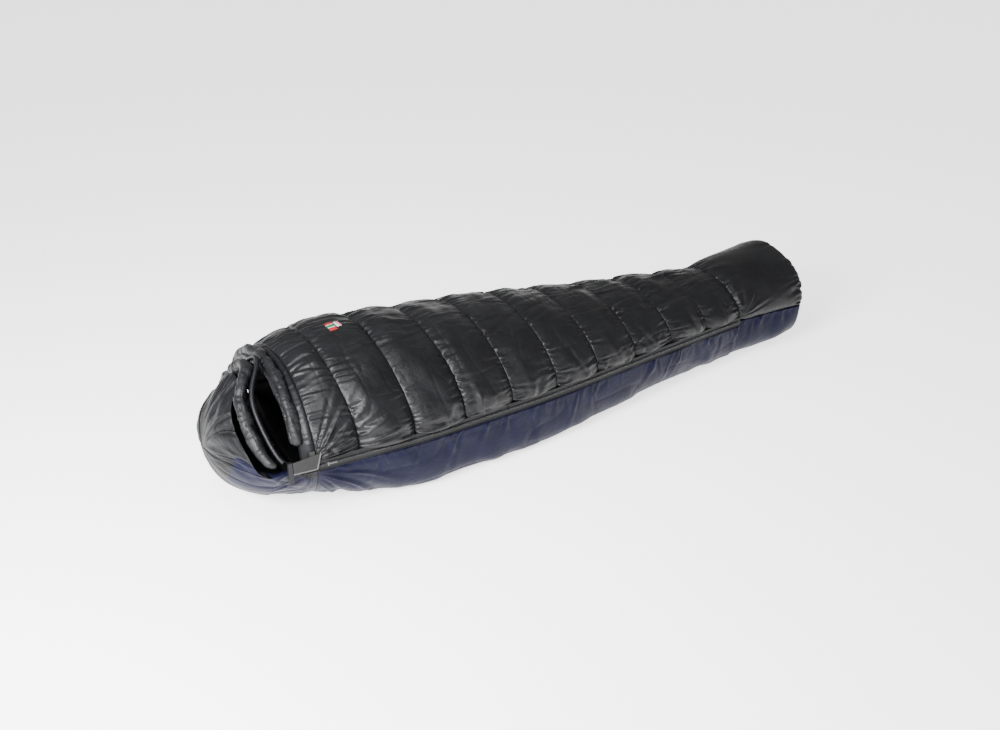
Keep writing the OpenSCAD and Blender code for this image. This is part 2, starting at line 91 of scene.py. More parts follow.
panelXs, panelWidths = rowsOf(cadPoints("side_panel_near"), 1, np.min)
footXs, footWidths = rowsOf(cadPoints("foot_box_base"), 1, np.min)
profile["width"] = smoothed(
    np.concatenate([panelXs, footXs]), -np.concatenate([panelWidths, footWidths]), profile["sideReach"]
)
ridge = [point for name in chamberNames + ["foot_box_top"] for point in ridgeOf(name)]
profile["top"] = smoothed([p[0] for p in ridge], [p[1] for p in ridge], profile["topReach"])
farXs, farTops = rowsOf(cadPoints("side_panel_far"), 2, np.max)
profile["zip"] = smoothed(farXs, farTops + 0.003, profile["zipReach"])

bag = {
    "neckX": float(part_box("side_panel_near")[0].x),
    "ankleX": float(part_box("side_panel_near")[1].x),
    "endX": float(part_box("foot_box_end")[1].x),
    "seamSweep": 0.020,
    "neckSweep": -0.014,
    "squareness": [
        (-0.72, 2.0), (-0.66, 2.4), (-0.60, 3.4), (-0.52, 5),
        (-0.40, 7), (-0.10, 7), (0.30, 4), (0.50, 3.2),
    ],
    "toeLift": float(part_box("foot_box_base")[0].z) + 0.026,
    "zipBand": 0.015,
}
secondX = float(ridgeOf("top_chamber_02")[0][0]) - 0.0018
pitch = (float(ridgeOf("top_chamber_04")[0][0]) - 0.0018 - secondX) / 2
seams = [bag["neckX"]] + [secondX + pitch * i for i in range(10)]
print("profile read:", [round(x, 3) for x in seams])


def halfWidth(x): return np.interp(x, profile["grid"], profile["width"])


def topHeight(x): return np.interp(x, profile["grid"], profile["top"])


def zipHeight(x): return np.interp(x, profile["grid"], profile["zip"])


def toeLift(x):
    # the underside rises under the toes
    return bag["toeLift"] * np.clip((x - 0.80) / 0.16, 0, 1) ** 1.5


def seamSweep(x):
    # how far the two ends of a seam run towards the foot
    places = [seams[0], seams[1], seams[10], bag["endX"]]
    return np.interp(x, places, [bag["neckSweep"], bag["seamSweep"], bag["seamSweep"], 0])


# ---------- fields and folds ----------

def smoothNoise(p, q, seed):
    # a smooth random field on a unit lattice, from -1 to 1
    table = np.random.default_rng(seed).uniform(-1, 1, (64, 64))
    i, j = np.floor(p).astype(int), np.floor(q).astype(int)
    f, g = p - i, q - j
    f, g = f * f * (3 - 2 * f), g * g * (3 - 2 * g)
    near = table[i % 64, j % 64] * (1 - f) + table[(i + 1) % 64, j % 64] * f
    far = table[i % 64, (j + 1) % 64] * (1 - f) + table[(i + 1) % 64, (j + 1) % 64] * f
    return near * (1 - g) + far * g


def creases(p, q, seed):
    # sharp ridges where the smooth field crosses zero, from 0 to 1
    return (1 - np.abs(smoothNoise(p, q, seed))) ** 5


def foldStyle(spacing, width, length, height, lean):
    # one kind of gathered fold; width, length and height are ranges in metres
    return {"spacing": spacing, "width": width, "length": length, "height": height, "lean": lean}


def puckers(along, away, style, seed):
    # short folds that stand square to a seam: a ridge with a valley at each side, fading away from it
    rng = np.random.default_rng(seed)
    low, high = float(along.min()), float(along.max())
    count = max(3, int((high - low) / style["spacing"]))
    shape = (count, 1, 1)
    places = np.sort(rng.uniform(low, high, count)).reshape(shape)
    widths = rng.uniform(*style["width"], count).reshape(shape)
    lengths = rng.uniform(*style["length"], count).reshape(shape)
    heights = (rng.uniform(*style["height"], count) * rng.choice([-1, 1], count, p=[0.35, 0.65])).reshape(shape)
    leans = rng.uniform(-style["lean"], style["lean"], count).reshape(shape)
    t = (along[None] - places - leans * away[None]) / (widths * (1 + 1.2 * away[None] / lengths))
    fade = np.exp(-np.abs(away[None] / lengths) ** 1.5)
    return (heights * (1 - 1.6 * t ** 2) * np.exp(-t ** 2) * fade).sum(0)


def fan(x, s, centre, angles, width, reach, height, seed):
    # folds that run out from one point, like those at the end of a tight zip
    rng = np.random.default_rng(seed)
    dx, ds = x - centre[0], s - centre[1]
    radius, angle = np.hypot(dx, ds), np.arctan2(ds, dx)
    total = np.zeros_like(x)
    for k, place in enumerate(angles):
        bend = place + rng.uniform(-0.12, 0.12) * radius / reach
        sharp = width * (0.7 + 0.6 * rng.random())
        size = height * (0.6 + 0.8 * rng.random()) * (1 if k % 3 else -0.8)
        t = (angle - bend) / sharp
        total += size * (1 - 1.3 * t ** 2) * np.exp(-t ** 2) * np.exp(-(radius / reach) ** 2)
    return total * (1 - np.exp(-(radius / 0.03) ** 2))


# ---------- meshes ----------

def buildMesh(name, points, quads, uv, rounds=(), slots=None, marks=None):
    # points and faces into a new object, with a uv map in metres and named point attributes
    quads = quads.astype(np.int32)
    corners = np.concatenate([quads.ravel()] + [np.asarray(r, np.int32) for r in rounds])
    sizes = np.array([4] * len(quads) + [len(r) for r in rounds])
    starts = np.concatenate([[0], np.cumsum(sizes)[:-1]]).astype(np.int32)
    mesh = bpy.data.meshes.new(name)
    mesh.vertices.add(len(points))
    mesh.vertices.foreach_set("co", points.astype(np.float32).ravel())
    mesh.loops.add(len(corners))
    mesh.loops.foreach_set("vertex_index", corners)
    mesh.polygons.add(len(starts))
    mesh.polygons.foreach_set("loop_start", starts)
    mesh.update(calc_edges=True)
    mesh.uv_layers.new(name="cloth").data.foreach_set("uv", uv[corners].astype(np.float32).ravel())
    mesh.polygons.foreach_set("use_smooth", np.ones(len(starts), bool))
    if slots is not None:
        mesh.polygons.foreach_set("material_index", np.asarray(slots, np.int32))
    for mark, values in (marks or {}).items():
        mesh.attributes.new(mark, "FLOAT", "POINT").data.foreach_set("value", values.astype(np.float32).ravel())
    mesh.validate()
    piece = bpy.data.objects.new(name, mesh)
    bpy.context.scene.collection.objects.link(piece)
    return piece


def gridUv(grid):
    # distances along the rows and the columns of a grid, in metres
    down = np.linalg.norm(np.diff(grid, axis=0), axis=2).mean(1)
    over = np.linalg.norm(np.diff(grid, axis=1), axis=2).mean(0)
    u = np.concatenate([[0], np.cumsum(down)])
    v = np.concatenate([[0], np.cumsum(over)])
    return np.stack(np.meshgrid(u, v, indexing="ij"), -1).reshape(-1, 2)


def gridQuads(rows, cols, first=0, inside=False):
    # quads of a grid whose rows run towards +x and whose columns run over the top from the zip side
    k = (np.arange(rows - 1)[:, None] * cols + np.arange(cols - 1)[None]).ravel() + first
    quads = np.stack([k, k + cols, k + cols + 1, k + 1], 1)
    return quads[:, ::-1] if inside else quads


def makePad(name, outer, inner, finishes, marks=None, turned=False):
    # a closed pad between an outer and an inner grid with equal columns
    # its first column and its last close with one face each
    rows, cols = outer.shape[:2]
    inRows = inner.shape[0]
    base = rows * cols
    c = np.arange(cols - 1)
    headWall = np.stack([c, c + 1, base + c + 1, base + c], 1)
    o, i = (rows - 1) * cols + c, base + (inRows - 1) * cols + c
    footWall = np.stack([o, i, i + 1, o + 1], 1)
    shell, lining = gridQuads(rows, cols), gridQuads(inRows, cols, base, True)
    quads = np.concatenate([shell, headWall, footWall, lining])
    outFirst, inFirst = np.arange(rows) * cols, base + np.arange(inRows) * cols
    rounds = [np.concatenate([inFirst, outFirst[::-1]]), np.concatenate([outFirst, inFirst[::-1]]) + cols - 1]
    if turned:
        quads, rounds = quads[:, ::-1], [r[::-1] for r in rounds]
    points = np.concatenate([outer.reshape(-1, 3), inner.reshape(-1, 3)])
    uv = np.concatenate([gridUv(outer), gridUv(inner)])
    slots = np.zeros(len(quads) + 2, int)
    slots[len(shell):len(quads)] = min(1, len(finishes) - 1)
    if marks:
        marks = {k: np.concatenate([v.ravel(), np.zeros(inRows * cols)]) for k, v in marks.items()}
    piece = buildMesh(name, points, quads, uv, rounds, slots, marks)
    for finish in finishes:
        piece.data.materials.append(finish)
    return piece


def makeTube(name, path, radius, sides, finish, side=(1, 0, 0), squash=None, lumps=None):
    # a round bar along a path: each ring stands square to the path; radius and squash may change along it
    path = np.asarray(path, float)
    count = len(path)
    along = np.gradient(path, axis=0)
    along /= np.linalg.norm(along, axis=1)[:, None]
    across = np.cross(np.asarray(side, float)[None], along)
    across /= np.linalg.norm(across, axis=1)[:, None]
    third = np.cross(along, across)
    turn = np.linspace(0, 2 * np.pi, sides, endpoint=False)
    radius = np.broadcast_to(radius, count)[:, None] * np.ones((1, sides))
    if lumps is not None:
        radius = radius + lumps
    flat = np.broadcast_to(1.0 if squash is None else squash, count)[:, None, None]
    rings = (
        path[:, None]
        + radius[..., None] * np.cos(turn)[None, :, None] * across[:, None]
        + flat * radius[..., None] * np.sin(turn)[None, :, None] * third[:, None]
    )
    k = (np.arange(count - 1)[:, None] * sides + np.arange(sides)[None]).ravel()
    nextSide = (np.arange(count - 1)[:, None] * sides + (np.arange(sides)[None] + 1) % sides).ravel()
    quads = np.stack([k, nextSide, nextSide + sides, k + sides], 1)
    rounds = [np.arange(sides)[::-1], np.arange(sides) + (count - 1) * sides]
    length = np.concatenate([[0], np.cumsum(np.linalg.norm(np.diff(path, axis=0), axis=1))])
    uv = np.stack(np.broadcast_arrays(length[:, None], (turn * radius.mean())[None]), -1).reshape(-1, 2)
    piece = buildMesh(name, rings.reshape(-1, 3), quads, uv, rounds)
    piece.data.materials.append(finish)
    return piece


def joined(name, pieces):
    # several meshes as one object
    bpy.ops.object.select_all(action="DESELECT")
    for piece in pieces:
        piece.select_set(True)
    bpy.context.view_layer.objects.active = pieces[0]
    bpy.ops.object.join()
    pieces[0].name = name
    pieces[0].select_set(False)
    return pieces[0]


# ---------- materials ----------

def newFinish(name, color, roughness, **inputs):
    # an empty shader with its plain values set on its own sockets
    finish = bpy.data.materials.new(name)
    finish.use_nodes = True
    tree = finish.node_tree
    shader = tree.nodes["Principled BSDF"]
    shader.inputs["Base Color"].default_value = (*color, 1)
    shader.inputs["Roughness"].default_value = roughness
    for key, value in inputs.items():
        shader.inputs[key.replace("_", " ")].default_value = value
    return finish, tree, shader


def link(tree, a, b):
    tree.links.new(a, b)


def addNode(tree, kind, **settings):
    node = tree.nodes.new(kind)
    for key, value in settings.items():
        setattr(node, key, value)
    return node


def nylonFinish(name, color, light, roughness, crinkle=0.5, navy=None, shine=0.2):
    # calendered nylon: a fine ripstop weave, small crinkles, a soft sheen and faint worn streaks
    finish, tree, shader = newFinish(
        name, color, roughness, Specular_IOR_Level=shine, Sheen_Weight=0.02, Sheen_Roughness=0.35
    )
    shader.inputs["Sheen Tint"].default_value = (*light, 1)
    place = addNode(tree, "ShaderNodeUVMap", uv_map="cloth")
    cloud = addNode(tree, "ShaderNodeTexNoise")
    cloud.inputs["Scale"].default_value = 9
    cloud.inputs["Detail"].default_value = 6
    cloud.inputs["Roughness"].default_value = 0.6
    link(tree, place.outputs["UV"], cloud.inputs["Vector"])
    shade = addNode(tree, "ShaderNodeValToRGB")
    shade.color_ramp.elements[0].position = 0.3
    shade.color_ramp.elements[1].position = 0.75
    shade.color_ramp.elements[0].color = (*[c * 0.8 for c in color], 1)
    shade.color_ramp.elements[1].color = (*light, 1)
    link(tree, cloud.outputs["Fac"], shade.inputs["Fac"])
    paint = shade.outputs["Color"]
    if navy:
        mark = addNode(tree, "ShaderNodeAttribute", attribute_name="navy")
        edge = addNode(tree, "ShaderNodeMapRange")
        edge.inputs["From Min"].default_value = -0.0006
        edge.inputs["From Max"].default_value = 0.0006
        link(tree, mark.outputs["Fac"], edge.inputs["Value"])
        mix = addNode(tree, "ShaderNodeMix", data_type="RGBA")
        link(tree, edge.outputs["Result"], mix.inputs["Factor"])
        link(tree, paint, mix.inputs["A"])
        deep = addNode(tree, "ShaderNodeValToRGB")
        deep.color_ramp.elements[0].position = 0.3
        deep.color_ramp.elements[1].position = 0.75
        deep.color_ramp.elements[0].color = (*[c * 0.8 for c in navy], 1)
        deep.color_ramp.elements[1].color = (*[c * 1.35 for c in navy], 1)
        link(tree, cloud.outputs["Fac"], deep.inputs["Fac"])
        link(tree, deep.outputs["Color"], mix.inputs["B"])
        paint = mix.outputs["Result"]
    link(tree, paint, shader.inputs["Base Color"])
    worn = addNode(tree, "ShaderNodeTexNoise")
    worn.inputs["Scale"].default_value = 38
    worn.inputs["Detail"].default_value = 4
    link(tree, place.outputs["UV"], worn.inputs["Vector"])
    gloss = addNode(tree, "ShaderNodeMapRange")
    gloss.inputs["To Min"].default_value = roughness - 0.07
    gloss.inputs["To Max"].default_value = roughness + 0.10
    link(tree, worn.outputs["Fac"], gloss.inputs["Value"])
    link(tree, gloss.outputs["Result"], shader.inputs["Roughness"])
    fine = addNode(tree, "ShaderNodeTexNoise")
    fine.inputs["Scale"].default_value = 70
    fine.inputs["Detail"].default_value = 5
    fine.inputs["Distortion"].default_value = 0.8
    link(tree, place.outputs["UV"], fine.inputs["Vector"])
    wide = addNode(tree, "ShaderNodeBump")
    wide.inputs["Strength"].default_value = crinkle
    wide.inputs["Distance"].default_value = 0.0025
    link(tree, fine.outputs["Fac"], wide.inputs["Height"])
    warp = addNode(tree, "ShaderNodeTexWave", bands_direction="X")
    weft = addNode(tree, "ShaderNodeTexWave", bands_direction="Y")
    for threads in (warp, weft):
        threads.inputs["Scale"].default_value = 420
        link(tree, place.outputs["UV"], threads.inputs["Vector"])
    weave = addNode(tree, "ShaderNodeMath", operation="ADD")
    link(tree, warp.outputs["Fac"], weave.inputs[0])
    link(tree, weft.outputs["Fac"], weave.inputs[1])
    cloth = addNode(tree, "ShaderNodeBump")
    cloth.inputs["Strength"].default_value = 0.10
    cloth.inputs["Distance"].default_value = 0.0003
    link(tree, weave.outputs["Value"], cloth.inputs["Height"])
    link(tree, wide.outputs["Normal"], cloth.inputs["Normal"])
    link(tree, cloth.outputs["Normal"], shader.inputs["Normal"])
    return finish


def objectFinish(name, color, light, roughness, scale, depth, metallic=0.0, stripes=0.0):
    # metal, moulded plastic or webbing: speckled colour, and a bump in object space
    finish, tree, shader = newFinish(name, color, roughness, Metallic=metallic)
    place = addNode(tree, "ShaderNodeTexCoord")
    speck = addNode(tree, "ShaderNodeTexNoise")
    speck.inputs["Scale"].default_value = scale
    speck.inputs["Detail"].default_value = 5
    link(tree, place.outputs["Object"], speck.inputs["Vector"])
    shade = addNode(tree, "ShaderNodeValToRGB")
    shade.color_ramp.elements[0].color = (*color, 1)
    shade.color_ramp.elements[1].color = (*light, 1)
    link(tree, speck.outputs["Fac"], shade.inputs["Fac"])
    link(tree, shade.outputs["Color"], shader.inputs["Base Color"])
    gloss = addNode(tree, "ShaderNodeMapRange")
    gloss.inputs["To Min"].default_value = roughness * 0.8
    gloss.inputs["To Max"].default_value = min(1, roughness * 1.25)
    link(tree, speck.outputs["Fac"], gloss.inputs["Value"])
    link(tree, gloss.outputs["Result"], shader.inputs["Roughness"])
    height = speck.outputs["Fac"]
    if stripes:
        ribs = addNode(tree, "ShaderNodeTexWave", bands_direction="DIAGONAL")
        ribs.inputs["Scale"].default_value = stripes
        link(tree, place.outputs["Object"], ribs.inputs["Vector"])
        height = ribs.outputs["Fac"]
    bump = addNode(tree, "ShaderNodeBump")
    bump.inputs["Strength"].default_value = 0.5
    bump.inputs["Distance"].default_value = depth
    link(tree, height, bump.inputs["Height"])
    link(tree, bump.outputs["Normal"], shader.inputs["Normal"])
    return finish


navyColor = (0.0026, 0.0028, 0.0125)
blackShell = nylonFinish("blackShellNylon", (0.0038, 0.0038, 0.0044), (0.0080, 0.0082, 0.0094), 0.39)
hoodShell = nylonFinish(
    "hoodShellNylon", (0.0042, 0.0043, 0.0050), (0.0085, 0.0088, 0.0100), 0.44, navy=navyColor, shine=0.13
)
navyShell = nylonFinish("navyFloorNylon", navyColor, tuple(c * 1.35 for c in navyColor), 0.46, shine=0.10)
lining = nylonFinish("darkLining", (0.0045, 0.0045, 0.0050), (0.008, 0.008, 0.009), 0.58, 0.35)
collarCloth = nylonFinish("collarNylon", (0.006, 0.0061, 0.0068), (0.013, 0.0132, 0.0148), 0.42, 0.7)
bandCloth = nylonFinish("neckBandNylon", (0.0040, 0.0040, 0.0052), (0.007, 0.007, 0.009), 0.42, 0.25)
meshCloth = nylonFinish("baffleMesh", (0.03, 0.03, 0.033), (0.05, 0.05, 0.055), 0.7, 0.2)
tapeCloth = nylonFinish("zipTape", (0.0060, 0.0060, 0.0066), (0.011, 0.011, 0.012), 0.6, 0.3)
coilNylon = objectFinish("zipCoilNylon", (0.008, 0.008, 0.009), (0.02, 0.02, 0.022), 0.35, 400, 0.0001)
piping = nylonFinish("rimPiping", (0.006, 0.006, 0.0066), (0.014, 0.014, 0.015), 0.4, 0.3)
tabWeb = nylonFinish("tabWebbing", (0.010, 0.0105, 0.010), (0.020, 0.021, 0.020), 0.6, 0.3)
tabBinding = nylonFinish("tabBinding", (0.06, 0.06, 0.062), (0.12, 0.12, 0.125), 0.5, 0.3)
hookFuzz = objectFinish("hookAndLoop", (0.010, 0.010, 0.010), (0.03, 0.03, 0.03), 0.9, 900, 0.0008)
darkMetal = objectFinish("darkZincMetal", (0.11, 0.11, 0.12), (0.2, 0.2, 0.21), 0.32, 250, 0.0001, 0.9)
lockPlastic = objectFinish("lockPlastic", (0.012, 0.012, 0.013), (0.022, 0.022, 0.024), 0.38, 300, 0.0001)
buttonPlastic = objectFinish("buttonPlastic", (0.10, 0.012, 0.012), (0.14, 0.02, 0.02), 0.4, 300, 0.0001)
springSteel = objectFinish("springSteel", (0.12, 0.12, 0.125), (0.2, 0.2, 0.2), 0.35, 200, 0.0001, 0.8)
cordBraid = objectFinish("cordBraid", (0.012, 0.012, 0.013), (0.03, 0.03, 0.032), 0.7, 500, 0.0005, stripes=260)
redLabel = nylonFinish("redLabel", (0.26, 0.012, 0.014), (0.34, 0.03, 0.03), 0.6, 0.2)
whiteLabel = nylonFinish("whiteLabel", (0.45, 0.45, 0.46), (0.65, 0.65, 0.66), 0.6, 0.2)
greenLabel = nylonFinish("greenLabel", (0.01, 0.10, 0.04), (0.02, 0.15, 0.06), 0.6, 0.2)
pinkLabel = nylonFinish("pinkLabel", (0.55, 0.16, 0.20), (0.65, 0.25, 0.3), 0.6, 0.2)
print("materials made")


# ---------- which bodies each stretch is listed with ---

bends = {
    "torso": ("quilt_thigh", "quilt_torso", (seams[4], 0, 0), (seams[1], 0, 0)),
    "thigh": ("quilt_shin", "quilt_thigh", (seams[7], 0, 0), (seams[4], 0, 0)),
    "shin": ("root", "quilt_shin", (seams[10], 0, 0), (seams[7], 0, 0)),
    "hood": ("root", "hood", (-0.765, 0, 0.14), (-0.800, 0, 0.20)),
}
sectionOf = {i: "torso" if i <= 4 else "thigh" if i <= 7 else "shin" for i in range(1, 11)}
stretches = {"torso": (1, 4), "thigh": (5, 7), "shin": (8, 10)}


def follow(piece, part, slot, *stoodFor):
    # a section's or the hood's cloth only has its transform baked into its points and stays unparented; anything else
    # rides on the named body
    if part in bends:
        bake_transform(piece)
    else:
        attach(piece, part)
    if stoodFor:
        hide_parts(*stoodFor)
    return piece


# ---------- the top quilt ----------

quilt = {
    "puff": 0.016, "seamDip": 0.002, "roundness": 0.62, "loft": 0.034,
    "rows": 72, "columns": 300, "farEdge": math.radians(179.4), "broad": 0.0060,
    "pucker": foldStyle(0.0115, (0.0030, 0.0070), (0.018, 0.070), (0.0010, 0.0032), 0.22),
    "edge": foldStyle(0.026, (0.006, 0.014), (0.030, 0.110), (0.002, 0.0065), 0.5),
    "fanAngles": (0.05, 0.22, 0.42, 0.62, 0.85, 1.1, 1.32),
}


def nearEdge(x):
    # the angle at which the quilt's hem stops above the zip
    return np.arcsin(np.clip(bag["zipBand"] / (topHeight(x) - zipHeight(x)), 0, 0.9))


def overTop(x, a, out):
    # half an ellipse over the sleeper, from the zip side (a = 0) to the far side (a = pi), raised by out
    side, low = halfWidth(x), zipHeight(x)
    return np.stack([
        x + seamSweep(x) * np.cos(a) ** 2,
        -(side + out) * np.cos(a),
        low + (topHeight(x) - low + out) * np.sin(a),
    ], -1)


def hemDistance(x, a):
    # metres over the cloth from the zip hem
    return (halfWidth(x) + topHeight(x) - zipHeight(x)) / 2 * (a - nearEdge(x))


def quiltRise(first, last, u, x, a):
    # how far a filled chamber stands off the quilt's even surface
    s = hemDistance(x, a)
    width = last - first
    full = np.sin(np.pi * np.clip(u, 0, 1)) ** quilt["roundness"] * min(1, width / 0.12)
    slimmer = np.interp(x, [-0.4, 0.3], [1, 0.62])
    rise = quilt["puff"] * slimmer * full * (0.85 + 0.25 * np.cos(a) ** 2)
    rise = rise - quilt["seamDip"] - 0.002 * np.cos(a) ** 2 * (1 - full)
    rise += quilt["broad"] * full * (smoothNoise(x / 0.075, s / 0.13, 3) + 0.45 * smoothNoise(x / 0.035, s / 0.05, 4))
    rise -= 0.0018 * full * creases(x / 0.07 + 0.6 * smoothNoise(x / 0.1, s / 0.1, 5), s / 0.035, 6)
    rise -= 0.0014 * full * creases(x / 0.03, s / 0.085 + 0.5 * smoothNoise(x / 0.05, s / 0.09, 7), 8)
    for seam, away in ((first, u * width), (last, (1 - u) * width)):
        seed = int(round((seam + 1) * 1000))
        rise += puckers(s, away, quilt["pucker"], seed) * np.minimum(1, away / 0.006)
    hem = np.exp(-s / 0.012)
    rise += -0.004 * hem + 0.006 * np.exp(-((s - 0.05) / 0.045) ** 2) * full
    rise += puckers(x, s, quilt["edge"], 91 + int(first * 100)) * (1 - hem) * full
    if first < -0.5:
        pulls = fan(x, s, (seams[0] - 0.01, 0), quilt["fanAngles"], 0.06, 0.16, 0.0075, 17)
        rise += pulls * (0.3 + 0.7 * full)
    return rise


def chamberGrid(first, last, u, v, extra=0.0, smooth=False):
    # u runs from seam to seam and v from the zip hem to the far side
    u, v = np.meshgrid(u, v, indexing="ij")
    x = first + 0.0001 + u * (last - first - 0.0002)
    near = nearEdge(x)
    a = near + v * (quilt["farEdge"] - near)
    rise = 0 if smooth else quiltRise(first, last, u, x, a)
    return overTop(x, a, rise + extra)


def eased(count): return 0.5 - 0.5 * np.cos(np.linspace(0, np.pi, count))


def towardsZip(count): return np.linspace(0, 1, count) ** 1.25


def sheetOf(name, grid, drop, finish, part, slot, node):
    # a thin lining between a grid and the same grid moved inwards
    piece = makePad(name, grid, drop, [finish])
    return follow(piece, part, slot, node)


for i in range(1, 11):
    first, last = seams[i - 1], seams[i]
    shell = chamberGrid(first, last, eased(quilt["rows"]), towardsZip(quilt["columns"]))
    under = chamberGrid(first, last, np.linspace(0, 1, 6), towardsZip(quilt["columns"]), -quilt["loft"], smooth=True)
    piece = makePad("chamber%02d" % i, shell, under, [blackShell, lining])
    follow(piece, sectionOf[i], "quilt_shell", "top_chamber_%02d" % i)

liner = {"depth": 0.046, "thick": 0.0012, "pillow": 0.004}
for part, (low, high) in stretches.items():
    linerXs = np.linspace(seams[low - 1] + 0.001, seams[high] - 0.001, 70)
    x, v = np.meshgrid(linerXs, np.linspace(0.01, 0.995, 120), indexing="ij")
    a = nearEdge(x) + v * (quilt["farEdge"] - nearEdge(x))
    wave = liner["pillow"] * smoothNoise(x / 0.06, hemDistance(x, a) / 0.08, 40)
    sheetOf(
        part + "Liner", overTop(x, a, wave - liner["depth"]), overTop(x, a, wave - liner["depth"] - liner["thick"]),
        lining, part, "lining", "liner_" + part,
    )
    walls = []
    for k in range(low, high + 1):
        at, v = np.meshgrid([seams[k] - 0.00025, seams[k] + 0.00025], np.linspace(0.01, 0.99, 90), indexing="ij")
        a = nearEdge(at) + v * (quilt["farEdge"] - nearEdge(at))
        walls.append(makePad("wall", overTop(at, a, -0.018), overTop(at, a, -0.032), [meshCloth]))
    follow(joined(part + "Baffles", walls), part, "baffle_mesh", "baffle_walls_" + part)
print("quilt made")


# ---------- floor, sides and foot ----------

floor = {
    "loft": 0.028, "sideRise": 0.008, "toeRound": 0.046,
    "nearEdge": math.radians(5.5), "farEdge": math.radians(179),
    "folds": foldStyle(0.021, (0.004, 0.010), (0.018, 0.060), (0.0014, 0.0045), 0.5),
}


def reach(b, power):
    # a circle squared off by its power
    return (np.abs(np.cos(b)) ** power + np.abs(np.sin(b)) ** power) ** (-1 / power)


def underBody(x, b, out, shrink=1.0):
    # the lower half: a squared arc under the bag from the zip side to the far side, with the ground as its floor
    power = np.interp(x, [p[0] for p in bag["squareness"]], [p[1] for p in bag["squareness"]])
    r = reach(b, power)
    low = zipHeight(x)
    drop = low - toeLift(x) + 0.003
    z = low - (drop + out) * r * np.sin(b) * shrink
    return np.stack([
        x + seamSweep(x) * np.cos(b) ** 2 * np.minimum(1, shrink),
        -(halfWidth(x) + out) * r * np.cos(b) * shrink,
        np.maximum(z, toeLift(x) * 0.9 + 0.0006 - np.minimum(out, 0)),
    ], -1)


def sideRise(x, b):
    # soft bulge of the side, small folds under the zip and long pulls across the panel
    edge = np.minimum(b, np.pi - b) * 0.16
    away = np.maximum(edge - 0.014, 0)
    full = np.clip(np.sin(np.pi * np.clip(edge / 0.19, 0, 1)), 0, 1) ** 0.6
    rise = floor["sideRise"] * full * (0.6 + 0.4 * smoothNoise(x / 0.11, edge / 0.09 + 7 * (b > 1.6), 50))
    rise += puckers(x, away, floor["folds"], 51) * (1 - np.exp(-away / 0.008))
    rise += 0.0040 * smoothNoise(x / 0.05 - edge / 0.05, edge / 0.05, 52) * full
    rise -= 0.0016 * creases(x / 0.10 + edge / 0.09, edge / 0.045, 53) * full
    rise += fan(x, edge, (seams[0] - 0.015, 0.012), (0.10, 0.35, 0.62, 0.9, 1.2), 0.07, 0.15, 0.006, 54)
    return rise * np.clip((x - seams[0]) / 0.03, 0, 1)


sidePanels = {
    "side_panel_near": ("sidePanelNear", floor["nearEdge"], math.radians(62)),
    "side_panel_far": ("sidePanelFar", floor["farEdge"], math.radians(118)),
}
panelXs = np.linspace(bag["neckX"] + 0.0004, bag["ankleX"] - 0.0004, 560)
for node, (name, top, bottom) in sidePanels.items():
    low, high = min(top, bottom), max(top, bottom)
    x, b = np.meshgrid(panelXs, np.linspace(low, high, 64), indexing="ij")
    inX, inB = np.meshgrid(np.linspace(panelXs[0], panelXs[-1], 60), np.linspace(low, high, 64), indexing="ij")
    shell, inner = underBody(x, b, sideRise(x, b)), underBody(inX, inB, -floor["loft"])
    piece = makePad(name, shell, inner, [navyShell, lining], turned=True)
    follow(piece, "root", "floor_shell", node)

floorStep = (bag["ankleX"] - bag["neckX"]) / 5
for i in range(5):
    x0 = bag["neckX"] + floorStep * i
    u, b = np.meshgrid(np.linspace(0, 1, 24), np.radians(np.linspace(62.3, 117.7, 50)), indexing="ij")
    x = x0 + 0.0004 + u * (floorStep - 0.0008)
    outer = underBody(x, b, -0.003 * (1 - np.sin(np.pi * u) ** 0.4))
    inner = underBody(x, b, -floor["loft"])
    piece = makePad("floorChamber%d" % (i + 1), outer, inner[::4], [navyShell, lining], turned=True)
    follow(piece, "root", "floor_shell", "floor_chamber_%d" % (i + 1))

x, b = np.meshgrid(np.linspace(panelXs[0], panelXs[-1], 110), np.radians(np.linspace(6, 178.5, 90)), indexing="ij")
wave = 0.003 * smoothNoise(x / 0.06, b / 0.3, 60)
piece = makePad("floorLiner", underBody(x, b, wave - 0.0362), underBody(x, b, wave - 0.0374), [lining], turned=True)
follow(piece, "root", "lining", "floor_liner")

foot = {
    "rows": 110, "columns": 220, "roundFrom": 0.80, "power": 0.48, "endX": bag["endX"] + 0.004,
    "seamFolds": foldStyle(0.018, (0.004, 0.009), (0.02, 0.07), (0.0015, 0.0045), 0.35),
    "toeFolds": foldStyle(0.022, (0.004, 0.010), (0.02, 0.05), (0.0015, 0.004), 0.3),
    "baseFolds": foldStyle(0.022, (0.005, 0.012), (0.02, 0.05), (0.0015, 0.004), 0.4),
}


def footRows(count, inset=0.0):
    # places along the foot and how far each row has closed in, as a squared-off round end
    w = np.linspace(0, 1, count)
    start = foot["endX"] - floor["toeRound"]
    phi = np.clip((w - foot["roundFrom"] + 0.25) / (1.25 - foot["roundFrom"]), 0, 1) * np.radians(88.5)
    straight = seams[10] + 0.0004 + (start - seams[10]) * np.clip(w / (foot["roundFrom"] - 0.25), 0, 1)
    x = straight + (floor["toeRound"] - inset) * np.sin(phi) ** foot["power"]
    return x, np.cos(phi) ** foot["power"]


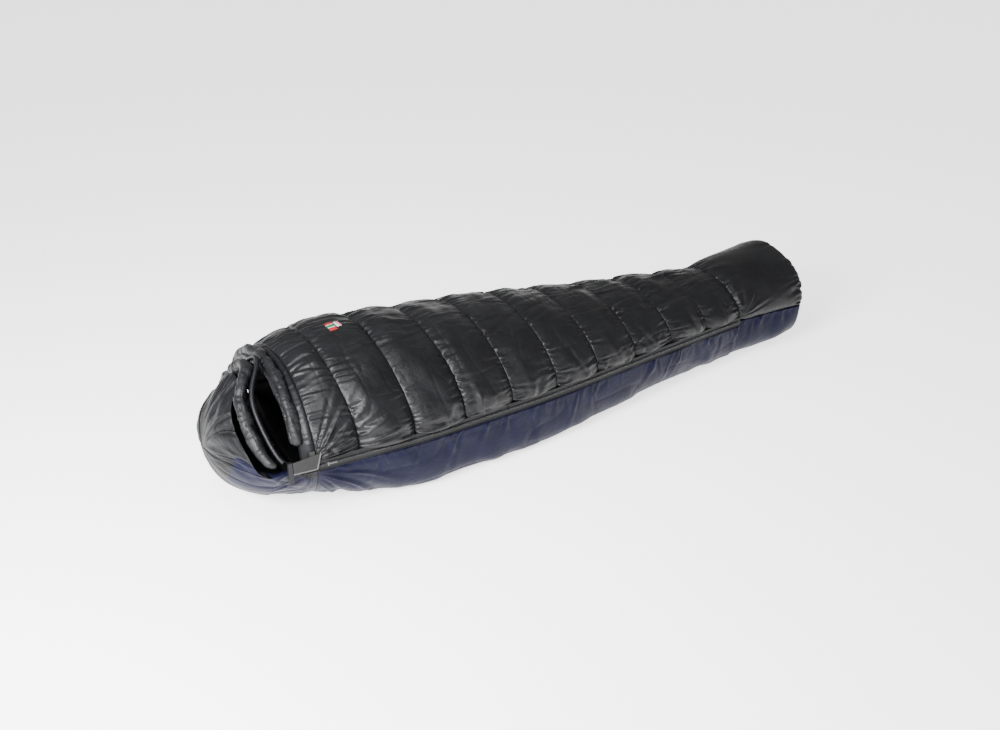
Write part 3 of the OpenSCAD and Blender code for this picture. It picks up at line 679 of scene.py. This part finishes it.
def footTop(count, columns, inset=0.0):
    rowX, close = footRows(count, inset)
    x, v = np.meshgrid(rowX, columns, indexing="ij")
    k = close[:, None] * np.ones_like(v)
    body = np.minimum(x, foot["endX"] - floor["toeRound"])
    near = 0.010 + 0 * k
    a = near + v * (quilt["farEdge"] - near)
    s = hemDistance(body, a)
    start = seams[10]
    rise = 0.016 * np.minimum(1, (x - start) / 0.05) ** 0.5 - 0.006
    rise += 0.005 * smoothNoise(x / 0.09, s / 0.09, 70) * k ** 0.3
    rise += fan(x, s, (start, 0), (0.15, 0.45, 0.75, 1.05, 1.35), 0.09, 0.10, 0.006, 72)
    rise += puckers(s, x - start, foot["seamFolds"], int(round((start + 1) * 1000)))
    rise += puckers(s, np.abs(x - (foot["endX"] - 0.030)), foot["toeFolds"], 73) * k ** 0.5
    rise = (rise - 0.004 * np.exp(-s / 0.012)) * (inset == 0) - inset
    low, side = zipHeight(body), halfWidth(body)
    return np.stack([
        x + seamSweep(body) * np.cos(a) ** 2 * k,
        -(side + rise) * k * np.cos(a),
        low + (topHeight(body) - low + rise) * k * np.sin(a),
    ], -1)


def footBase(count, columns, inset=0.0):
    rowX, close = footRows(count, inset)
    towardsAnkle = (bag["ankleX"] - seams[10]) * np.clip(1 - (rowX - seams[10]) / 0.1, 0, 1)
    x, v = np.meshgrid(rowX + towardsAnkle, columns, indexing="ij")
    k = close[:, None] * np.ones_like(v)
    body = np.minimum(x, foot["endX"] - floor["toeRound"])
    near = 0.010 + 0 * k
    b = near + v * (floor["farEdge"] - near)
    low = zipHeight(body)
    r = reach(b, 3.4 - 1.2 * (1 - k))
    edge = np.minimum(b, np.pi - b) * 0.16
    gathered = puckers(x, edge, foot["baseFolds"], 76) * np.minimum(1, edge / 0.01)
    rise = (0.007 * smoothNoise(x / 0.07, b / 0.5, 75) + gathered) * (inset == 0) - inset
    z = low - (low - toeLift(x) + rise * 0.5) * k * r * np.sin(b)
    return np.stack([
        x + seamSweep(body) * np.cos(b) ** 2 * k,
        -(halfWidth(body) + rise) * k * r * np.cos(b),
        np.maximum(z, 0.0006 + toeLift(x) * 0.9 + inset),
    ], -1)


def footPiece(name, shape, finishes, turned, rows=110):
    across = towardsZip(foot["columns"])
    return makePad(name, shape(rows, across), shape(40, across, 0.030), finishes, turned=turned)


footPiece("footTop", footTop, [blackShell, lining], False)
follow(bpy.data.objects["footTop"], "root", "quilt_shell", "foot_box_top", "foot_box_end")
footPiece("footBase", footBase, [navyShell, lining], True)
follow(bpy.data.objects["footBase"], "root", "floor_shell", "foot_box_base")
across = np.linspace(0.01, 0.99, 90)
linings = [
    makePad("footLiningTop", footTop(50, across, 0.040), footTop(50, across, 0.0412), [lining]),
    makePad("footLiningBase", footBase(50, across, 0.040), footBase(50, across, 0.0412), [lining], turned=True),
]
follow(joined("footLiner", linings), "root", "lining", "foot_liner")
print("floor and foot made")


# ---------- zip ----------

def zipLine(x, up=0.0, out=0.0):
    # a line beside the zip: up the side of the bag and out from it
    x = np.asarray(x, float)
    return np.stack([x + seamSweep(x), -(halfWidth(x) + out), zipHeight(x) + up], -1)


def makeStrip(name, path, width, thick, finish):
    # a flat tape with rounded edges, standing on edge along a path
    return makeTube(name, path, width / 2, 10, finish, side=(0, 1, 0), squash=thick / width)


def makeCoil(name, low, high, up, out, finish):
    # the wound half of the zip: one turn for every tooth
    turns = int((high - low) / zipSizes["pitch"])
    t = np.linspace(0, 1, turns * 7 + 1)
    phase = t * turns * 2 * np.pi
    line = zipLine(low + t * (high - low), up, out)
    path = line + zipSizes["radius"] * np.stack([0 * t, -0.7 * np.cos(phase), np.sin(phase)], -1)
    return makeTube(name, path, zipSizes["wire"], 5, finish)


zipSizes = {"pitch": 0.0030, "radius": 0.0018, "wire": 0.0006, "tape": 0.013}
zipLow, zipHigh = float(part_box("zip_lower")[0].x), float(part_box("zip_lower")[1].x)
print("zip from", round(zipLow, 3), "to", round(zipHigh, 3))
for part, (low, high) in stretches.items():
    ends = (max(seams[low - 1], zipLow) - 0.0195, seams[high] - (0.0205 if high < 10 else 0.001))
    xs = np.linspace(ends[0] + 0.0008, ends[1], 120)
    pieces = [
        makeStrip("tape", zipLine(xs, 0.0085, -0.0012), zipSizes["tape"], 0.0012, tapeCloth),
        makeCoil("coil", ends[0] + 0.001, ends[1], 0.0014, 0.0012, coilNylon),
        makeTube("hemPiping", zipLine(xs, 0.0150, 0.0000), 0.0013, 8, piping, side=(0, 1, 0)),
    ]
    follow(joined("zipUpper" + part.capitalize(), pieces), part, "zip_tape", "zip_upper_" + part)
    xs = np.linspace(seams[low - 1] + 0.003, seams[high] - 0.003, 130)
    path = np.stack([xs, -(halfWidth(xs) - 0.061), zipHeight(xs) + 0.010], -1)
    turn, place = np.meshgrid(np.arange(18), xs)
    lumps = 0.0022 * smoothNoise(place / 0.03, turn / 3, 80)
    piece = makeTube("draftTube" + part.capitalize(), path, 0.0125, 18, lining, side=(0, 1, 0), lumps=lumps)
    follow(piece, part, "lining", "draft_tube_" + part)
xs = np.linspace(zipLow - 0.019, seams[10] - 0.001, 320)
pieces = [
    makeStrip("tape", zipLine(xs, -0.0085, -0.0012), zipSizes["tape"], 0.0012, tapeCloth),
    makeCoil("coil", xs[0] + 0.001, xs[-1], -0.0014, 0.0012, coilNylon),
    makeTube("panelPiping", zipLine(xs, -0.0140, 0.0000), 0.0012, 8, piping, side=(0, 1, 0)),
]
follow(joined("zipLower", pieces), "root", "zip_tape", "zip_lower")
print("zip made")


# ---------- neck band, collar and labels ----------

neck = {
    "bandFrom": float(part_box("neck_band")[0].x), "collarX": -0.752, "collarTop": 0.350,
    "inset": 0.026, "radius": 0.0145,
    "folds": foldStyle(0.02, (0.003, 0.007), (0.01, 0.03), (0.0005, 0.0016), 0.2),
}
u, v = np.meshgrid(np.linspace(0, 1, 14), np.linspace(0, 1, 240), indexing="ij")
near = float(nearEdge(bag["neckX"]))
a = near + v * (quilt["farEdge"] - near)
flatX = bag["neckX"] + 0 * u
slide = (bag["neckX"] - 0.0006 - neck["bandFrom"]) * (u - 1)
seamFolds = puckers(hemDistance(flatX, a), (1 - u) * 0.02, neck["folds"], 30)
rise = -0.004 - 0.022 * (1 - u) ** 1.6 + 0.0035 * np.sin(np.pi * u) + seamFolds
outer = overTop(flatX, a, rise) + np.stack([slide - 0.0004, 0 * u, 0 * u], -1)
inner = overTop(flatX, a, -0.034 + 0 * u) + np.stack([slide - 0.0004, 0 * u, 0 * u], -1)
piece = makePad("neckBand", outer, inner[::3], [bandCloth, lining])
follow(piece, "torso", "collar_shell", "neck_band")


def collarPath(a, forward=0.0, drop=0.0):
    side, low = float(halfWidth(bag["neckX"])), float(zipHeight(bag["neckX"]))
    return np.stack([
        neck["collarX"] - 0.014 * np.cos(a) ** 2 - forward,
        -(side - neck["inset"]) * np.cos(a),
        low + (neck["collarTop"] - low - drop) * np.sin(a),
    ], -1)


def lumpyRoll(name, path, radius, finish, seed, size=0.0035, slim=None):
    # a soft stuffed roll gathered by its stitching
    length = np.concatenate([[0], np.cumsum(np.linalg.norm(np.diff(path, axis=0), axis=1))])
    turn, place = np.meshgrid(np.arange(28), length)
    lumps = size * smoothNoise(place / 0.028, turn / 5, seed)
    lumps -= 0.8 * size * creases(place / 0.012 + turn / 14, turn / 8, seed + 1)
    ends = np.minimum(1, np.minimum(length, length[-1] - length) / 0.016)
    ends = ends if slim is None else ends * slim
    thick = radius * (0.25 + 0.75 * np.sqrt(ends * (2 - ends)))
    return makeTube(name, path, thick, 28, finish, lumps=lumps * ends[:, None])


collarFrom, collarTo = math.radians(16), math.radians(170)
angles = np.linspace(collarFrom, collarTo, 260)
pieces = [lumpyRoll("roll", collarPath(angles), neck["radius"], collarCloth, 31)]
pieces.append(lumpyRoll("flap", collarPath(angles[6:-6], 0.010, 0.020), 0.0085, collarCloth, 33, 0.0022))
piece = joined("collarTop", pieces)
follow(piece, "torso", "collar_shell", "collar_top")
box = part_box("collar_base")
angles = np.radians(np.linspace(9, 171, 200))
path = underBody(np.full(200, bag["neckX"]), angles, -0.030)
path[:, 0] = (box[0].x + box[1].x) / 2
path[:, 2] = np.maximum(path[:, 2], box[0].z + 0.013)
piece = lumpyRoll("collarBase", path, 0.0135, collarCloth, 35)
follow(piece, "root", "collar_shell", "collar_base")


def patchOn(name, x0, x1, a0, a1, lift, finish):
    # a small sewn patch that follows the second chamber's cloth
    first, last = seams[1], seams[2]
    x, a = np.meshgrid(np.linspace(x0, x1, 16), np.linspace(a0, a1, 22), indexing="ij")
    rise = quiltRise(first, last, (x - first) / (last - first), x, a)
    return makePad(name, overTop(x, a, rise + lift), overTop(x, a, rise - 0.001), [finish])


def angleOf(y, x): return float(np.arccos(np.clip(-y / halfWidth(x), -1, 1)))


low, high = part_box("woven_label")
x0, x1, a0, a1 = low.x, high.x, angleOf(low.y, low.x), angleOf(high.y, low.x)
steps = [a0 + (a1 - a0) * k for k in (0, 0.30, 0.36, 0.64, 0.70, 1)]
stripes = [
    patchOn("red", x0, x1, steps[0], steps[1], 0.0016, redLabel),
    patchOn("white", x0, x1, steps[1], steps[2], 0.0018, whiteLabel),
    patchOn("middle", x0, x1, steps[2], steps[3], 0.0016, greenLabel),
    patchOn("whiteToo", x0, x1, steps[3], steps[4], 0.0018, whiteLabel),
    patchOn("last", x0, x1, steps[4], steps[5], 0.0016, redLabel),
]
follow(joined("wovenLabel", stripes), "torso", "label_patch", "woven_label")
low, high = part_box("side_tag")
middle = (low.x + high.x) / 2
a0, a1 = angleOf(low.y, low.x), angleOf(high.y, low.x)
halves = [
    patchOn("white", low.x, middle, a0, a1, 0.0020, whiteLabel),
    patchOn("pink", middle, high.x, a0, a1, 0.0020, pinkLabel),
]
follow(joined("sideTag", halves), "torso", "label_tag", "side_tag")
print("collar and labels made")


# ---------- hood ----------

hood = {
    "front": -0.834, "length": 0.108, "half": 0.231, "top": 0.334, "split": 0.160, "drop": 0.138, "shift": -0.016,
    "near": 0.058, "far": 0.014, "power": 1.8, "loft": 0.024,
    "folds": foldStyle(0.030, (0.005, 0.011), (0.03, 0.09), (0.0015, 0.0045), 0.3),
    "baseFolds": foldStyle(0.024, (0.005, 0.011), (0.03, 0.08), (0.0015, 0.0045), 0.5),
}


def peak(a):
    # the rim's outline: a soft point over the middle
    return 1 - (np.hypot(np.cos(a), 0.12) - 0.12) / (math.hypot(1, 0.12) - 0.12)


def rimBack(a):
    # how far the rim leans back from its peak, more on the zip side
    size = np.where(a < np.pi / 2, hood["near"], hood["far"])
    return size * np.sqrt(np.maximum(np.sin(a), 0)) * (1 - np.exp(-((a - np.pi / 2) / math.radians(16)) ** 2))


def hoodRise(u, a):
    # soft filling, long folds gathered at the rim and pulls that run to the crown
    s = 0.28 * a
    full = np.clip(1 - u, 0, 1) ** 0.8
    rise = 0.008 * smoothNoise(u / 0.35 + 3, s / 0.10, 110) * full + 0.004 * smoothNoise(u / 0.15, s / 0.05, 111) * full
    rise -= 0.003 * creases(u / 0.45 + s / 0.2, s / 0.06, 112) * full
    rise += puckers(s, u * 0.11, hood["folds"], 113) * np.minimum(1, u / 0.06) * full
    for seam in (58, 122):
        rise -= 0.006 * np.exp(-((a - math.radians(seam)) / 0.05) ** 2) * full
    return rise


def hoodOver(u, a, out):
    # a dome whose front edge is the rim's outline; u runs from the rim to the crown
    s = np.sin(np.pi / 2 * u)
    arch = (1 - 0.8 * s) * peak(a) + 0.8 * s * np.sin(a)
    return np.stack([
        hood["front"] - rimBack(a) * (1 - s) - (hood["length"] + out) * s,
        hood["shift"] - (hood["half"] + out) * np.sqrt(1 - s) * np.cos(a),
        hood["split"] + 0.0008 + (hood["top"] - hood["split"] + out) * (1 - s ** 1.2) ** 0.6 * arch,
    ], -1)


def navyMark(p):
    # metres inside the navy part: below a slanted line on each side and in front of a line behind the ear
    x, y, z = p[..., 0], p[..., 1], p[..., 2]
    ear = x - (-0.905 - 0.02 * (0.20 - z) / 0.17)
    line = np.where(y < 0, 0.165 + (-0.82 - x) / 0.085 * 0.035, 0.215)
    return np.minimum(ear, line - z)


rowsBack = 1 - np.linspace(0, 1, 60) ** 0.8
hoodPieces = {
    "hood_side_near": ("hoodNear", 1.0, 57.8),
    "hood_crown": ("hoodCrown", 58.2, 121.8),
    "hood_side_far": ("hoodFar", 122.2, 179),
}
for node, (name, low, high) in hoodPieces.items():
    u, a = np.meshgrid(rowsBack * 0.985, np.radians(np.linspace(low, high, 90)), indexing="ij")
    shell = hoodOver(u, a, hoodRise(u, a))
    inner = hoodOver(u[::6], a[::6], -hood["loft"])
    piece = makePad(name, shell, inner, [hoodShell, lining], marks={"navy": navyMark(shell)})
    follow(piece, "hood", "quilt_shell", node)
u, a = np.meshgrid(0.02 + rowsBack[::2] * 0.90, np.radians(np.linspace(7, 173, 110)), indexing="ij")
sheetOf("hoodLiner", hoodOver(u, a, -0.030), hoodOver(u, a, -0.0312), lining, "hood", "lining", "hood_liner")


def underHood(t, b, out):
    # t from -1 at the neck to 0 under the rim, then to 1 at the crown
    back = np.clip(t, 0, 1)
    ahead = np.clip(-t, 0, 1)
    ahead = ahead * ahead * (3 - 2 * ahead)
    s = np.sin(np.pi / 2 * back)
    startX, low = bag["neckX"] - 0.0006, float(zipHeight(bag["neckX"]))
    side = hood["half"] + (float(halfWidth(bag["neckX"])) - hood["half"]) * ahead
    middle = hood["split"] + (low - hood["split"]) * ahead
    drop = hood["drop"] + (low + 0.002 - hood["drop"]) * ahead
    r = reach(b, hood["power"] + 0.2 * ahead)
    aheadX = hood["front"] + (startX - hood["front"]) * np.clip(-t, 0, 1)
    x = np.where(t < 0, aheadX, hood["front"] - (hood["length"] + out) * s)
    y = hood["shift"] * (1 - ahead) - (side + out) * np.sqrt(1 - s) * r * np.cos(b)
    z = middle - (drop + out) * np.sqrt(np.maximum(1 - s * s, 0)) * r * np.sin(b)
    swept = x + seamSweep(bag["neckX"]) * np.cos(b) ** 2 * ahead
    return np.stack([swept, y, np.maximum(z, 0.0006 - np.minimum(out, 0))], -1)


t, b = np.meshgrid(np.linspace(0.985, -1, 110), np.radians(np.linspace(0.8, 179.2, 200)), indexing="ij")
edge = np.minimum(b, np.pi - b) * 0.19
rise = 0.006 * smoothNoise(t / 0.5, edge / 0.06 + 9 * (b > 1.6), 120)
rise -= 0.004 * creases(t / 0.5 - edge / 0.1, edge / 0.05, 121)
rise += puckers(t * 0.11, edge, hood["baseFolds"], 122) * np.minimum(1, edge / 0.02)
pulls = fan(t * 0.11, edge, (-0.10, 0.0), (0.5, 0.9, 1.3, 1.75, 2.2), 0.09, 0.10, 0.006, 123)
rise += pulls * np.clip(t + 1, 0, 0.3) / 0.3
rise *= np.clip((t + 1) / 0.15, 0, 1) * np.clip(1 - t, 0, 1) ** 0.8
shell = underHood(t, b, rise)
inner = underHood(t[::8], b[::8], -hood["loft"])
piece = makePad("hoodBase", shell, inner, [hoodShell, lining], marks={"navy": navyMark(shell)}, turned=True)
follow(piece, "hood", "floor_shell", "hood_base")


def rimPath(a, x, top, inset):
    # a line round the face opening
    lowest = hood["split"] + 0.022
    y = hood["shift"] - (hood["half"] - inset) * np.cos(a)
    return np.stack([x - rimBack(a), y, lowest + (top - lowest) * peak(a)], -1)


angles = np.radians(np.linspace(5, 172, 240))
slim = np.interp(np.degrees(angles), [5, 28, 50, 130, 150, 172], [0.10, 0.22, 1, 1, 0.4, 0.1])
piece = lumpyRoll("rimBaffle", rimPath(angles, -0.807, 0.353, 0.016), 0.0185, collarCloth, 130, 0.0055, slim)
follow(piece, "hood", "collar_shell", "rim_baffle")
channelX = -0.7788
angles = np.radians(np.linspace(14, 145, 240))
pieces = [
    makeTube("channel", rimPath(angles, channelX, 0.368, 0.0046), 0.0058, 14, bandCloth),
    makeTube("rimPiping", rimPath(angles, channelX + 0.0050, 0.369, 0.0046), 0.0014, 8, piping),
]
follow(joined("rimChannel", pieces), "hood", "piping", "rim_channel")
angles = np.radians(np.linspace(143, 162, 40))
piece = makeTube("drawcord", rimPath(angles, channelX, 0.368, 0.0046), 0.0016, 10, cordBraid)
follow(piece, "hood", "cord", "hood_drawcord")
print("hood made")


# ---------- guard tab and the hard pieces ----------

low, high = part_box("guard_tab")
face = (low.y + high.y) / 2
cornersOf = {
    "heel": (low.x, 0.004), "tip": (low.x + 0.060, 0.0),
    "tipTop": (low.x + 0.072, 0.042), "heelTop": (low.x, 0.036),
}
u, v = np.meshgrid(np.linspace(0, 1, 30), np.linspace(0, 1, 20), indexing="ij")


def tabPoint(u, v, y):
    # a slanted four-cornered flap, upright beside the zip's top
    p = {k: np.array(value) for k, value in cornersOf.items()}
    bottom = p["heel"] + (p["tip"] - p["heel"]) * u[..., None]
    upper = p["heelTop"] + (p["tipTop"] - p["heelTop"]) * u[..., None]
    flat = bottom + (upper - bottom) * v[..., None]
    return np.stack([flat[..., 0], y + 0 * u, low.z + flat[..., 1]], -1)


front, back = tabPoint(u, v, face - 0.0008), tabPoint(u, v, face + 0.0008)
pieces = [makePad("flap", front[:, ::-1], back[:, ::-1], [tabWeb], turned=True)]
line = np.linspace(0, 1, 40)
for name, path in (
    ("rightBinding", tabPoint(1 + 0 * line, line, face)), ("lowBinding", tabPoint(line, 0 * line, face)),
):
    pieces.append(makeTube(name, path, 0.0022, 8, tabBinding, side=(0, 1, 0), squash=0.8))
follow(joined("guardTab", pieces), "guard", "tab_web", "guard_tab")

finishes = {
    "slider": darkMetal, "puller": darkMetal, "stop": darkMetal,
    "hook": hookFuzz, "loop": hookFuzz, "anchor": bandCloth,
    "button": buttonPlastic, "spring": springSteel, "lock_body": lockPlastic,
}
shown = [name for name, node in nodes.items() if not node.hide_render]
for name in shown:
    finish = next((f for key, f in finishes.items() if key in name), lining)
    mesh = nodes[name].data
    if not mesh.materials:
        mesh.materials.append(finish)
    for k in range(len(mesh.materials)):
        mesh.materials[k] = finish
print("cad pieces kept:", shown)


# ---------- floor, light and camera ----------

scene = bpy.context.scene
ground, tree, shader = newFinish(
    "paleGround", (0.95, 0.95, 0.95), 0.75, Emission_Color=(1, 1, 1, 1), Emission_Strength=1.9
)
grain = addNode(tree, "ShaderNodeTexNoise")
grain.inputs["Scale"].default_value = 3
tone = addNode(tree, "ShaderNodeMapRange")
tone.inputs["To Min"].default_value = 0.72
tone.inputs["To Max"].default_value = 0.78
link(tree, grain.outputs["Fac"], tone.inputs["Value"])
link(tree, tone.outputs["Result"], shader.inputs["Roughness"])
bpy.ops.mesh.primitive_plane_add(size=60, location=(0, 0, 0))
plane = bpy.context.object
plane.name = "ground"
plane.data.materials.append(ground)

world = bpy.data.worlds.new("studio")
world.use_nodes = True
world.node_tree.nodes["Background"].inputs["Color"].default_value = (1, 1, 1, 1)
world.node_tree.nodes["Background"].inputs["Strength"].default_value = 0.5
scene.world = world


def addLight(name, place, aim, size, power):
    # a soft square light aimed at a point
    lamp = bpy.data.objects.new(name, bpy.data.lights.new(name, "AREA"))
    lamp.data.shape = "RECTANGLE"
    lamp.data.size, lamp.data.size_y = size
    lamp.data.energy = power
    lamp.location = place
    lamp.rotation_euler = (Vector(aim) - Vector(place)).to_track_quat("-Z", "Y").to_euler()
    scene.collection.objects.link(lamp)
    return lamp


lamps = [
    addLight("headKey", (-2.5, -1.3, 1.7), (-0.35, 0, 0.15), (1.2, 1.2), 330),
    addLight("overhead", (-1.2, -0.6, 2.6), (-0.1, 0, 0.1), (1.4, 0.8), 45),
    addLight("frontFill", (0.6, -3.0, 1.4), (0, 0, 0.1), (3.0, 1.2), 16),
]
camera = bpy.data.objects.new("camera", bpy.data.cameras.new("camera"))
camera.location = (-1.4689, -2.3472, 1.5989)
camera.rotation_euler = (Vector((-0.0569, 0, 0.1424)) - camera.location).to_track_quat("-Z", "Y").to_euler()
camera.data.lens = 38.24
camera.data.sensor_width = 36
scene.collection.objects.link(camera)
scene.camera = camera
